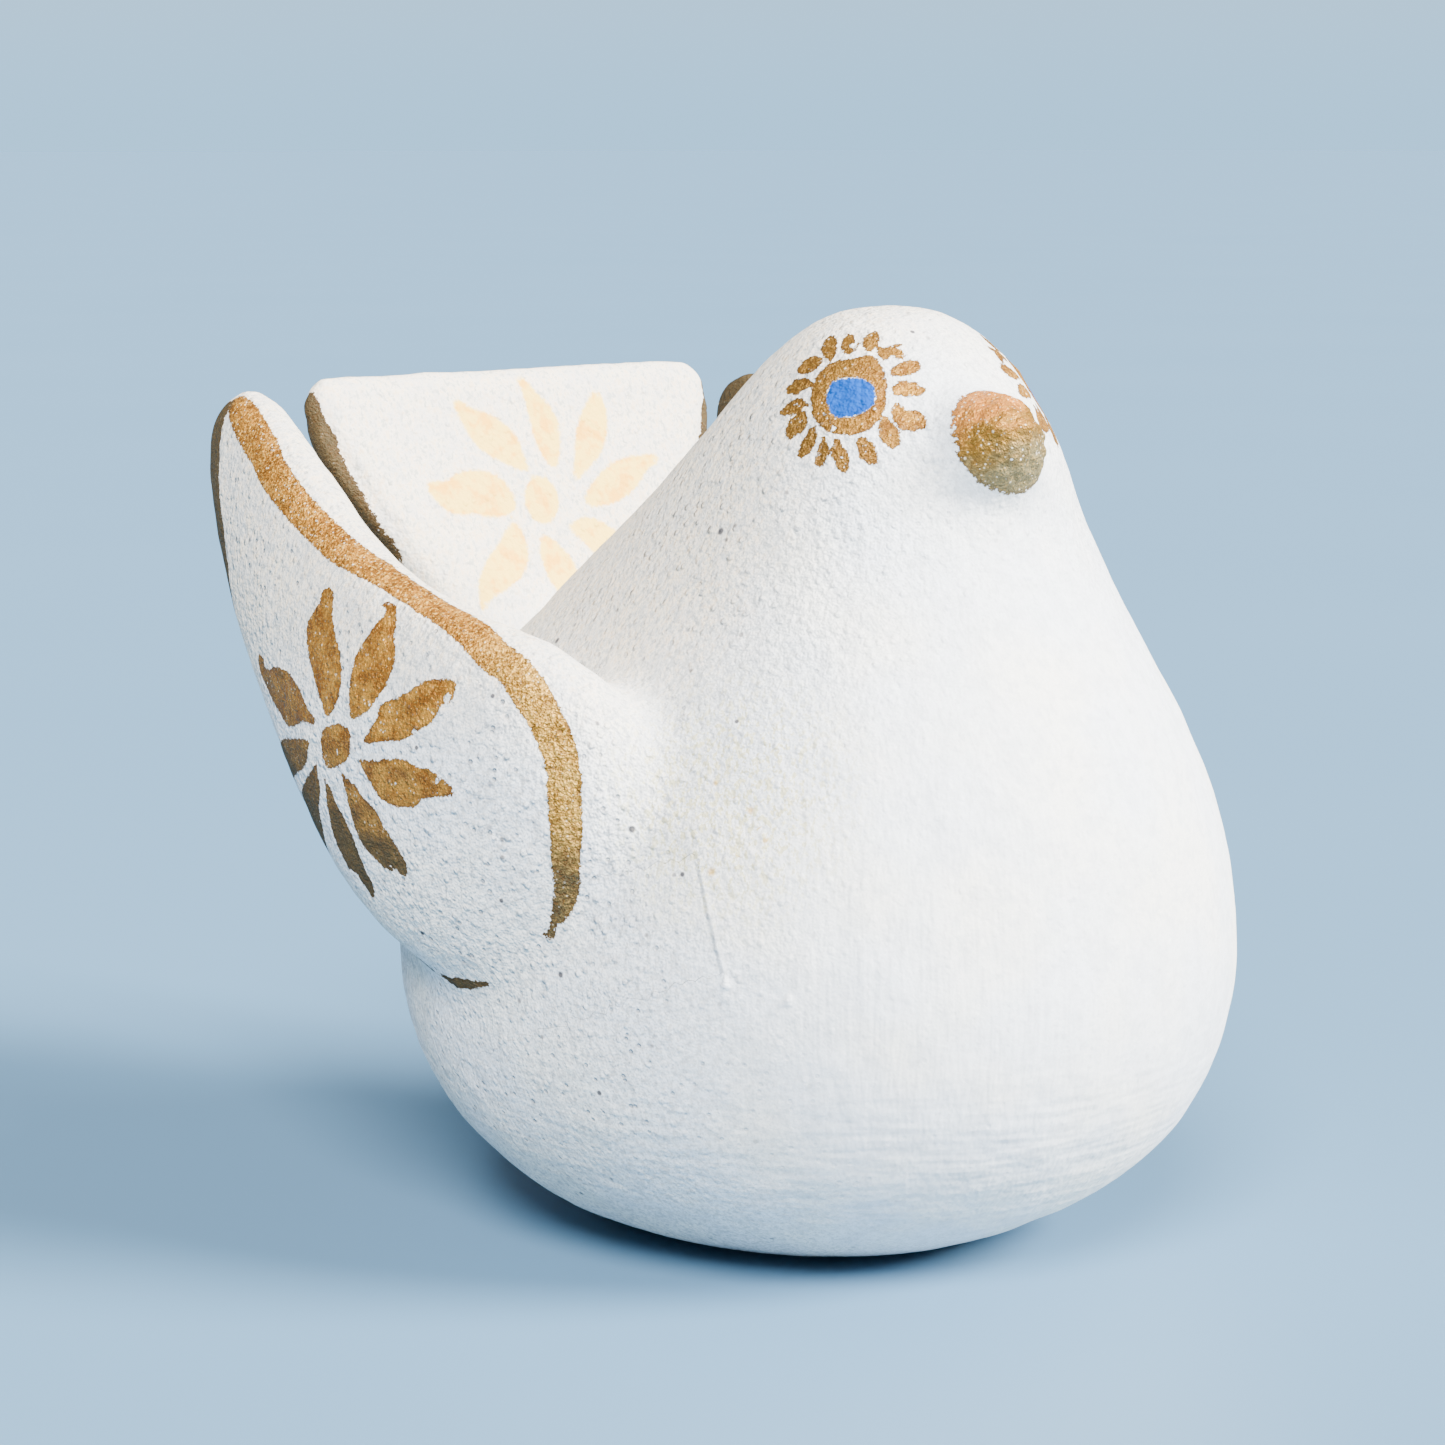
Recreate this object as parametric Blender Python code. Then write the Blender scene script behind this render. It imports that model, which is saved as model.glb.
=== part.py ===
"""Pottery dove figurine: one fired clay form with a plump body, a stub beak, two raised wings and an upright fan tail.

Units are metres and +Z is up. The dove faces -Y, so its right wing is on the -X side. The origin is the
middle of the flat foot that it stands on. The form is free, so the tables below hold proportions: a place is
a share of the body's half width to the side, of its half length to the back and of the height upwards.
"""
import math

import bmesh
import bpy
from mathutils import Vector

MM = 0.001

HEIGHT = 82.8 * MM
BODY_WIDTH = 72.0 * MM
BODY_LENGTH = 82.0 * MM
WING_WIDTH = 33.0 * MM
WING_THICKNESS = 14.6 * MM
LEFT_WING_SET_BACK = 2.5 * MM
LEFT_WING_DROP = 0.8 * MM
TAIL_WIDTH = 48.2 * MM
TAIL_ROOT_THICKNESS = 8.0 * MM
BEAK_WIDTH = 10.6 * MM

# Body, from below the foot to the crown: up, back, half width, reach to the front, reach to the back
BODY_LINES = (
    (-0.030, 0.000, 0.100, 0.100, 0.100),
    (-0.015, 0.000, 0.260, 0.260, 0.260),
    (0.000, 0.000, 0.430, 0.430, 0.430),
    (0.030, -0.005, 0.610, 0.600, 0.610),
    (0.075, -0.010, 0.765, 0.750, 0.765),
    (0.135, -0.020, 0.885, 0.865, 0.885),
    (0.210, -0.030, 0.965, 0.935, 0.965),
    (0.300, -0.040, 1.000, 0.965, 1.000),
    (0.385, -0.050, 0.980, 0.945, 1.005),
    (0.480, -0.080, 0.905, 0.880, 1.020),
    (0.570, -0.110, 0.795, 0.780, 0.975),
    (0.665, -0.160, 0.660, 0.620, 0.800),
    (0.765, -0.210, 0.530, 0.465, 0.600),
    (0.855, -0.255, 0.425, 0.380, 0.425),
    (0.925, -0.280, 0.325, 0.262, 0.320),
    (0.970, -0.280, 0.225, 0.170, 0.205),
    (0.993, -0.280, 0.125, 0.100, 0.120),
    (1.000, -0.280, 0.030, 0.030, 0.030),
)
BODY_SIDES = 48
BODY_RINGS = 40

# Wing, from its rounded root on the breast to its raised tip: out, back, up, share of width, share of thickness
WING_LINES = (
    (0.736, -0.332, 0.447, 0.12, 0.27),
    (0.764, -0.295, 0.449, 0.55, 0.62),
    (0.833, -0.185, 0.457, 0.85, 0.89),
    (0.917, -0.015, 0.477, 1.00, 1.00),
    (0.981, 0.180, 0.519, 0.97, 0.96),
    (1.006, 0.396, 0.586, 0.81, 0.82),
    (0.975, 0.628, 0.667, 0.64, 0.69),
    (0.935, 0.839, 0.757, 0.52, 0.58),
    (0.889, 0.998, 0.831, 0.36, 0.47),
    (0.861, 1.071, 0.870, 0.22, 0.33),
    (0.856, 1.095, 0.882, 0.05, 0.11),
)
WING_SIDES = 24
WING_RINGS = 30
WING_STEP = 0.02

# Tail, a slab that leans back: its root and top, then up the slab, share of width, share of thickness
TAIL_ROOT = (0.0, 0.790, 0.435)
TAIL_TOP = (0.0, 1.083, 0.907)
TAIL_LINES = (
    (0.000, 0.310, 1.00),
    (0.250, 0.480, 0.80),
    (0.500, 0.670, 0.66),
    (0.670, 0.816, 0.56),
    (0.800, 0.933, 0.48),
    (0.880, 0.990, 0.43),
    (0.945, 1.000, 0.41),
    (0.985, 0.965, 0.40),
    (1.000, 0.900, 0.40),
)
TAIL_RINGS = 24

# Beak, a blunt cone that starts inside the head: its root and tip, then share of length and of width
BEAK_ROOT = (-0.028, -0.563, 0.851)
BEAK_TIP = (-0.070, -0.768, 0.888)
BEAK_LINES = ((0.0, 1.00), (0.3, 0.98), (0.5, 0.90), (0.7, 0.70), (0.88, 0.42), (1.0, 0.16))
BEAK_SIDES = 16

# The clay skin that joins the forms: its mesh size, how far the joints are softened and the share of faces kept
CLAY_CELL = 0.8 * MM
SOFTENING_ROUNDS = 18
FACES_KEPT = 0.06
CUTTER_SIZE = 3.0


def spline(rows, share):
    """The row at this share of the way through a table, on a smooth curve through all of its rows."""
    place = min(max(share, 0.0), 1.0) * (len(rows) - 1)
    i = min(int(place), len(rows) - 2)
    t = place - i
    before, start = rows[max(i - 1, 0)], rows[i]
    end, after = rows[i + 1], rows[min(i + 2, len(rows) - 1)]
    return [
        0.5 * (2 * b + (c - a) * t + (2 * a - 5 * b + 4 * c - d) * t * t + (3 * b - a - 3 * c + d) * t ** 3)
        for a, b, c, d in zip(before, start, end, after)
    ]


def spot(out, back, up):
    """A place on the figure, from shares of its half width, half length and height."""
    return Vector((out * BODY_WIDTH / 2, back * BODY_LENGTH / 2, up * HEIGHT))


def loft(mesh, rings):
    """Adds one closed shell through rings of points, with a flat cap at each end."""
    made = [[mesh.verts.new(point) for point in ring] for ring in rings]
    sides = len(made[0])
    for low, high in zip(made, made[1:]):
        for i in range(sides):
            j = (i + 1) % sides
            mesh.faces.new((low[i], low[j], high[j], high[i]))
    mesh.faces.new(list(reversed(made[0])))
    mesh.faces.new(made[-1])


def body_rings():
    rings = []
    for k in range(BODY_RINGS + 1):
        up, back, width, to_front, to_back = spline(BODY_LINES, k / BODY_RINGS)
        ring = []
        for i in range(BODY_SIDES):
            angle = math.tau * i / BODY_SIDES
            reach = to_front if math.sin(angle) < 0 else to_back
            ring.append(spot(width * math.cos(angle), back + reach * math.sin(angle), up))
        rings.append(ring)
    return rings


def wing_rings(side, set_back, drop):
    """Oval sections square to the wing's middle line; side is -1 for the right wing and 1 for the left."""
    rings = []
    for k in range(WING_RINGS + 1):
        share = k / WING_RINGS
        out, back, up, width, thickness = spline(WING_LINES, share)
        centre = spot(side * out, back, up) + Vector((0.0, set_back, -drop))
        step_out, step_back, step_up = (
            b - a
            for a, b in zip(spline(WING_LINES, share - WING_STEP)[:3], spline(WING_LINES, share + WING_STEP)[:3])
        )
        ahead = spot(side * step_out, step_back, step_up).normalized()
        outward = Vector((side, 0.0, 0.0))
        outward = (outward - ahead * outward.dot(ahead)).normalized()
        across = ahead.cross(outward)
        ring = []
        for i in range(WING_SIDES):
            angle = math.tau * i / WING_SIDES
            ring.append(
                centre
                + across * width * WING_WIDTH / 2 * math.cos(angle)
                + outward * thickness * WING_THICKNESS / 2 * math.sin(angle)
            )
        rings.append(ring)
    return rings


def tail_rings():
    root, top = spot(*TAIL_ROOT), spot(*TAIL_TOP)
    sideways = Vector((1.0, 0.0, 0.0))
    backward = sideways.cross((top - root).normalized())
    rings = []
    for k in range(TAIL_RINGS + 1):
        share, width, thickness = spline(TAIL_LINES, k / TAIL_RINGS)
        half_width = sideways * width * TAIL_WIDTH / 2
        half_thickness = backward * thickness * TAIL_ROOT_THICKNESS / 2
        centre = root.lerp(top, share)
        rings.append([
            centre - half_width - half_thickness,
            centre + half_width - half_thickness,
            centre + half_width + half_thickness,
            centre - half_width + half_thickness,
        ])
    return rings


def beak_rings():
    root, tip = spot(*BEAK_ROOT), spot(*BEAK_TIP)
    sideways = Vector((1.0, 0.0, 0.0))
    upward = sideways.cross((tip - root).normalized())
    rings = []
    for share, width in BEAK_LINES:
        ring = []
        for i in range(BEAK_SIDES):
            angle = math.tau * i / BEAK_SIDES
            round_point = sideways * math.cos(angle) + upward * math.sin(angle)
            ring.append(root.lerp(tip, share) + round_point * width * BEAK_WIDTH / 2)
        rings.append(ring)
    return rings


def white_slip():
    """Chalky white slip over the clay."""
    material = bpy.data.materials.new("white_slip")
    material.use_nodes = True
    shader = material.node_tree.nodes["Principled BSDF"]
    shader.inputs["Base Color"].default_value = (0.85, 0.85, 0.83, 1.0)
    shader.inputs["Roughness"].default_value = 0.9
    shader.inputs["Metallic"].default_value = 0.0
    return material


def ground_cutter():
    """A block with its top at the foot's height, to cut the foot flat."""
    mesh = bmesh.new()
    size = CUTTER_SIZE * max(BODY_LENGTH, BODY_WIDTH)
    bmesh.ops.create_cube(mesh, size=size)
    bmesh.ops.translate(mesh, verts=mesh.verts, vec=(0.0, 0.0, -size / 2))
    data = bpy.data.meshes.new("ground_cutter")
    mesh.to_mesh(data)
    mesh.free()
    cutter = bpy.data.objects.new("ground_cutter", data)
    cutter.hide_render = True
    cutter.display_type = "WIRE"
    bpy.context.scene.collection.objects.link(cutter)
    return cutter


def dove():
    """The forms pressed into one piece of clay, softened where they meet and cut flat below."""
    mesh = bmesh.new()
    loft(mesh, body_rings())
    loft(mesh, wing_rings(-1, 0.0, 0.0))
    loft(mesh, wing_rings(1, LEFT_WING_SET_BACK, LEFT_WING_DROP))
    loft(mesh, tail_rings())
    loft(mesh, beak_rings())
    bmesh.ops.recalc_face_normals(mesh, faces=mesh.faces)
    data = bpy.data.meshes.new("dove")
    mesh.to_mesh(data)
    mesh.free()
    data.materials.append(white_slip())
    figure = bpy.data.objects.new("dove", data)
    bpy.context.scene.collection.objects.link(figure)
    clay = figure.modifiers.new("clay", "REMESH")
    clay.mode = "VOXEL"
    clay.voxel_size = CLAY_CELL
    clay.use_smooth_shade = True
    softened = figure.modifiers.new("softened", "SMOOTH")
    softened.factor = 0.5
    softened.iterations = SOFTENING_ROUNDS
    thinned = figure.modifiers.new("thinned", "DECIMATE")
    thinned.ratio = FACES_KEPT
    foot = figure.modifiers.new("foot", "BOOLEAN")
    foot.operation = "DIFFERENCE"
    foot.solver = "EXACT"
    foot.object = ground_cutter()


def main():
    for old in list(bpy.data.objects):
        bpy.data.objects.remove(old)
    dove()


main()
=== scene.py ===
"""A pottery dove dressed as in the photograph: chalky white slip on hand-formed clay, gold and blue paint.

The frame is in metres and the tables here are in millimetres. The dove faces -Y, so its right wing is on the
-X side and +Z is up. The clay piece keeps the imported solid's form under a finer skin with lumps, beads and a
crumbly beak. The skin stores how far each point is from the painted outlines and what its slip is like. The
material reads these by name and adds grit, brush marks, pits and a drip.
"""
import math
import random

import bmesh
import bpy
import numpy as np
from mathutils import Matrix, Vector, noise


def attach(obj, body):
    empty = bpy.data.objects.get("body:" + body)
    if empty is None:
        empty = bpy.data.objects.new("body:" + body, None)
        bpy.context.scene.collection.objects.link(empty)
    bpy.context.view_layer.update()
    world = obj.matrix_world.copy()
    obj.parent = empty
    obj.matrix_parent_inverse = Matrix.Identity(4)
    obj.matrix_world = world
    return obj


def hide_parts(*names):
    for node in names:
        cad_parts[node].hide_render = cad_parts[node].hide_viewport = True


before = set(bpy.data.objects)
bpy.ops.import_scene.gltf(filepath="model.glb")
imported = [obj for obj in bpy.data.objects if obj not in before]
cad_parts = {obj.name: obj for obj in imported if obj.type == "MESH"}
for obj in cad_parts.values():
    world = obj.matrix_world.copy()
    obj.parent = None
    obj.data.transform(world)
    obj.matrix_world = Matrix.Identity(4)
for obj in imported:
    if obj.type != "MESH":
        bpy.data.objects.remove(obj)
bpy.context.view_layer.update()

MM = 0.001

# The photograph's camera
CAMERA_AZIMUTH = -40.0
CAMERA_ELEVATION = 8.5
CAMERA_DISTANCE = 0.350
CAMERA_LENS = 97.0
CAMERA_SENSOR = 36.0
CAMERA_LOOKS_AT = (-0.0065, 0.0038, 0.0451)
CAMERA_CLIP_START = 0.01

# The clay's skin: its mesh size, how it is softened and how finely it is cut beside painted outlines
SKIN_CELL = 0.82
SOFTEN_ROUNDS = 30
SOFTEN_SHARE = 0.5
SHAPE_KEPT_ROUNDS = 2
FINE_CUTS = 1
FINE_REACH = 0.6
FINE_SOFTEN_ROUNDS = 3
WELD_REACH = 0.001
EYE_FINE_REACH = 7.2
BEAK_FINE_REACH = 0.8
BEAD_FINE_MARGIN = 0.6
FOOT_HEIGHT = 0.12
MARKS_FADE_HEIGHT = 3.0

# Painted outlines: the greatest distance stored, how far round a shape it is worked out, the straight pieces
# between two points of a stroke, and how many millimetres a turn of the surface counts for
FAR = 9.0
STROKE_MARGIN = 2.0
STROKE_STEPS = 5
TINY = 1e-9
TURN_LENGTH = 4.0

# Wing flower, in the plane of the outer face: outlines of its petals, forward and up from its centre
WING_CENTRE = (12.3, 45.6)
WING_INNER_SIDE = 33.5
WING_PETALS = (
    ((-1.7, 2.1), (-2.6, 3.3), (-3.5, 4.5), (-4.6, 5.8), (-5.5, 6.9), (-6.1, 7.9), (-6.6, 9), (-6.7, 10),
     (-6.2, 10.8), (-5.6, 11.7), (-5.7, 12.3), (-5.5, 12.8), (-5, 13), (-4.3, 12.8), (-3.7, 12.2),
     (-3.5, 11.5), (-3.2, 10.8), (-2.6, 9.8), (-1.6, 8.7), (-0.6, 7.5), (-0.1, 6.4), (0.1, 5.2),
     (-0.1, 3.9), (-0.8, 2.9)),
    ((1.9, 2.5), (1.6, 3.4), (1.4, 4.5), (1.3, 5.7), (1.3, 6.8), (1.3, 7.9), (1.8, 8.9), (2.3, 9.7),
     (2.5, 10.4), (2.9, 11), (3.1, 11.5), (3, 11.9), (2.8, 12), (2.4, 12.1), (2.5, 12.4), (3.1, 12.4),
     (3.8, 12.2), (4.2, 11.9), (4.7, 11.2), (5, 10.5), (5.2, 9.7), (5.8, 9), (6.2, 7.8), (6.1, 6.8),
     (5.8, 5.8), (5.1, 4.7), (4.3, 3.6), (3.2, 2.8)),
    ((3.6, 0.5), (4, 1.3), (4.8, 2.2), (5.2, 2.8), (5.4, 3.7), (5.8, 4.3), (7.2, 4.8), (8.3, 5.3), (9.3, 6),
     (10.2, 6.5), (11.2, 6.7), (12.3, 6.8), (13.3, 6.6), (13.3, 5.9), (13.3, 5.1), (12.9, 4.8), (12.2, 4.7),
     (12, 4), (11.5, 3.2), (10.7, 2.6), (9.7, 2), (8.5, 1.4), (6.8, 1.1), (5.3, 0.8)),
    ((2.9, -0.8), (4, -0.8), (5.5, -0.7), (6.9, -0.4), (8.1, -0.2), (9.1, -0.3), (10.2, -0.7), (11.2, -0.7),
     (12.1, -1), (12.9, -1.4), (13.6, -1.8), (14, -2.2), (13.9, -2.8), (12.8, -3), (11.2, -3.2),
     (10.6, -3.5), (10.4, -4), (9.3, -4.3), (7.9, -4.4), (6.7, -4.2), (5.7, -3.8), (4.9, -3), (4, -2.2),
     (3.4, -1.4)),
    ((0.3, -2.2), (1.5, -2.8), (2.5, -3.2), (3.2, -3.9), (4.1, -4.4), (4.9, -4.9), (5.5, -5.6), (6.2, -6.4),
     (7.1, -7.4), (7.6, -8.2), (8.1, -9.1), (8.2, -9.9), (7.8, -10.5), (7.2, -10.5), (6.8, -10),
     (5.8, -10.2), (4.9, -10), (4, -9.4), (2.9, -8.7), (2, -7.7), (1.5, -6.6), (1.2, -5.5), (1, -4.5),
     (0.7, -3.4)),
    ((-2.5, -3.2), (-1.8, -3.8), (-1.3, -4.6), (-0.8, -5.5), (0, -6.2), (0.7, -7.3), (1.2, -8.5),
     (1.6, -9.7), (2.1, -10.7), (2.5, -11.5), (2.5, -12.5), (2.1, -13.3), (1.6, -13.3), (1.2, -12.6),
     (0.6, -11.9), (0.2, -11.2), (-1.1, -11), (-1.7, -10.2), (-2.3, -9.2), (-2.7, -8), (-2.7, -6.5),
     (-2.7, -5.2)),
    ((-3.6, -1.9), (-3.7, -3), (-3.5, -4), (-3.9, -5), (-4.5, -6), (-4.7, -7.1), (-5, -8.3), (-5.5, -9.5),
     (-5.8, -10.8), (-6.2, -11.8), (-7.1, -11.3), (-8.2, -10), (-9.1, -8.6), (-9.4, -7.4), (-9.4, -6.4),
     (-8.9, -5.6), (-7.8, -4.7), (-6.4, -3.7), (-4.9, -2.8)),
    ((-4.5, -0.1), (-5.1, -1.1), (-5.5, -1.9), (-6.3, -2.7), (-7.8, -3.4), (-9.8, -4.1), (-11.4, -4.8),
     (-12.6, -5), (-13.6, -4.5), (-14, -3.4), (-13.8, -2.2), (-12.6, -1.4), (-10.6, -0.8), (-7.7, -0.4)),
    ((-3.4, 1.8), (-3.6, 1.4), (-4.7, 1.3), (-5.7, 1.4), (-7.1, 0.9), (-8.5, 0.5), (-9.5, 0.4),
     (-10.6, 0.9), (-11.8, 1.5), (-13.4, 2.2), (-14.7, 3.1), (-15.8, 4), (-16.4, 4.8), (-16.6, 5.6),
     (-16.2, 6), (-15.4, 6), (-15.1, 5.4), (-14.6, 4.9), (-13.3, 5), (-12.8, 5.3), (-10.9, 5.5),
     (-9.4, 5.3), (-8, 4.8), (-6.7, 4), (-5.9, 3.4), (-4.9, 2.5)),
    ((-1, 1.6), (0.1, 1.9), (1.1, 1.8), (1.9, 1.4), (2, 0.5), (1.8, -0.2), (1.9, -0.6), (1, -1.4),
     (-0.2, -1.9), (-1.2, -2.2), (-2, -2), (-2.5, -1.3), (-2.7, -0.2), (-2.5, 0.9), (-1.8, 1.3)),
)
WING_BARE_DOTS = (
    (12.7, 5.3, 0.34), (0, -0.6, 0.24), (-1, -0.5, 0.14), (-1.6, -1.2, 0.14), (9.8, 2.4, 0.15),
    (6, -9.6, 0.16), (12.4, -1.7, 0.15), (-7.3, -2.2, 0.15), (12.2, -2.3, 0.14),
)

# Border stripes on the right wing: the upper one from the tip down the front edge, with its curled end, and
# the rear one from its end under the wing up the back edge to the tip
FRONT_STRIPE = (
    (-33.3, 41.4, 73.2, 0.9), (-34, 39.4, 72.4, 1.4), (-34.9, 36.5, 70.9, 1.6), (-35.7, 33.4, 69.3, 1.6),
    (-36.4, 31, 67.7, 1.55), (-36.9, 28.1, 66.1, 1.5), (-37.2, 25.1, 64.6, 1.45), (-37.4, 21.7, 63.1, 1.5),
    (-37.7, 17.7, 61.7, 1.55), (-37.5, 13.4, 60.5, 1.5), (-37.4, 9.4, 59.3, 1.4), (-37.2, 5.2, 58, 1.45),
    (-37.1, 1, 56.6, 1.5), (-37.1, -3.1, 54.5, 1.5), (-36.6, -5.3, 53.3, 1.5), (-36.1, -7.2, 51.2, 1.55),
    (-35.8, -8.5, 49.4, 1.5), (-35.5, -9.6, 47.4, 1.5), (-35.5, -10.3, 45.5, 1.45),
    (-35.6, -10.6, 43.1, 1.45), (-35.6, -10.8, 40.6, 1.4), (-35.5, -10.6, 38.1, 1.25),
    (-35.3, -10.5, 35.9, 1.1), (-35.3, -10, 34.2, 0.9), (-35.4, -9.5, 33.1, 0.6),
)
STRIPE_CURL = (
    (-35.5, -9.5, 33.4, 0.45), (-35.5, -9, 32.5, 0.32), (-35.5, -8.7, 31.7, 0.34), (-35.5, -8.5, 31.4, 0.36),
    (-35.7, -8, 31.4, 0.18),
)
REAR_STRIPE = (
    (-36.3, -0.7, 26.1, 0.3), (-36.3, 1, 25.8, 0.45), (-36.3, 2.1, 25.6, 0.55), (-36.3, 3.4, 25.4, 0.6),
    (-36.3, 4.7, 25.4, 0.45), (-36.4, 5.8, 25.6, 0.25), (-36.2, 7.3, 25.8, 0.15), (-35.6, 14.5, 29, 1.3),
    (-36.3, 19.2, 33.2, 1.6), (-36.6, 23, 37.6, 1.7), (-36.3, 27.2, 42.2, 1.8), (-35.8, 31.6, 47.1, 1.8),
    (-35.7, 35.2, 52, 1.8), (-36.7, 38, 58.3, 1.8), (-36.5, 39, 60.5, 1.8), (-35.6, 40.7, 64.4, 1.8),
    (-34.9, 41.6, 67.1, 1.8), (-34.2, 42.4, 69.3, 1.8), (-33.2, 42.6, 71.5, 1.6),
)
LEFT_WING_SET_BACK = 2.5
LEFT_WING_DROP = 0.8

# Where the gold on a wing ends: how far outward its surface must face, the wing's inner and front limits,
# and the height from which the left wing's tip is painted on its inner side too
FLOWER_FACES = 0.25
STRIPE_FACES = -0.35
WING_OUT_FROM = 27.0
WING_BACK_FROM = -20.0
TIP_HEIGHT = 66.0

# Tail flower, in the plane of the tail's front: right and up the slab from its centre, with half widths
TAIL_CENTRE = (-0.6, 38.1, 62.4)
TAIL_UP = (0.0, 0.35, 0.94)
TAIL_PETALS = (
    ((0.8, 12.3, 0.4), (1.9, 9.7, 1.1), (2.5, 8.1, 1.6), (2.4, 5.6, 1.4), (2.4, 3.7, 0.6)),
    ((9.6, 10.5, 0.4), (9.2, 8.9, 1.2), (8.4, 7.3, 1.7), (7.3, 5.4, 1.6), (5.9, 3.5, 0.9), (4.7, 2, 0.3)),
    ((15.2, 3.4, 0.5), (13.1, 2.9, 0.9), (10.9, 1.9, 1.7), (8.3, 0.7, 1.6), (6, -0.3, 0.8)),
    ((2.8, -3, 0.3), (4.8, -3.4, 1.4), (6.2, -4.4, 1.8), (7.9, -5.4, 1.6), (9.8, -6.6, 0.6)),
    ((-0.5, -4.1, 0.7), (-0.1, -5.7, 1.5), (0.5, -7.2, 1.8), (1.2, -9.2, 1.4), (1.8, -11.2, 0.4)),
    ((-3.7, -2.4, 0.5), (-4.3, -3.9, 1.4), (-5.1, -5.5, 1.9), (-6.9, -6.8, 1.8), (-8.6, -8.1, 1.1),
     (-9.6, -9.9, 0.4)),
    ((-3.9, -0.2, 0.8), (-5.7, 0.8, 2.2), (-8.1, 1.3, 2.2), (-10.4, 0.9, 1.6), (-12.3, 1.9, 0.8)),
    ((-7.4, 10.1, 0.5), (-6.1, 8.5, 1.2), (-4.6, 7.1, 2), (-3, 5.9, 1.9), (-2.1, 4.6, 1.2),
     (-1.1, 3.4, 0.5)),
    ((0.2, 0.7, 1.7), (0, 0, 2), (-0.2, -0.7, 1.7)),
)

# The tail's limits: how far back its painted front and its sides begin, its foot, top and half width
TAIL_FRONT_FROM = 28.0
TAIL_FRONT_FACES = 0.5
TAIL_SIDES_FROM = 30.0
TAIL_HALF_WIDTH = 25.5
TAIL_FOOT = 52.0
TAIL_TOP = 80.0
TAIL_LEVEL_STEP = 1.0

# Gold band round the tail's sides: heights with its width there, and with how far the sides stand out there
TAIL_BAND_HEIGHTS = (52.0, 58.0, 68.0, 70.5, 73.0, 75.2)
TAIL_BAND_WIDTHS = (-1.0, 0.8, 1.0, 0.9, 0.5, 0.2)
TAIL_SIDE_HEIGHTS = (55.0, 58.0, 61.0, 63.0, 65.5, 68.0, 70.0, 71.0, 73.0)
TAIL_SIDE_FULLNESS = (0.0, 0.2, 0.5, 0.8, 1.0, 0.95, 0.6, 0.3, 0.0)
TAIL_SIDE_REACH = 2.6
TAIL_SIDE_FADE = 1.6
TAIL_SIDE_FACES = 0.75
TAIL_SIDE_TURN = 0.4

# The painted tip of the left wing, seen over the dove's back
LEFT_TIP = ((28.0, 47.0, 65.0, 2.0), (28.8, 45.6, 70.0, 2.8), (30.5, 44.2, 73.5, 3.0))

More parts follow.
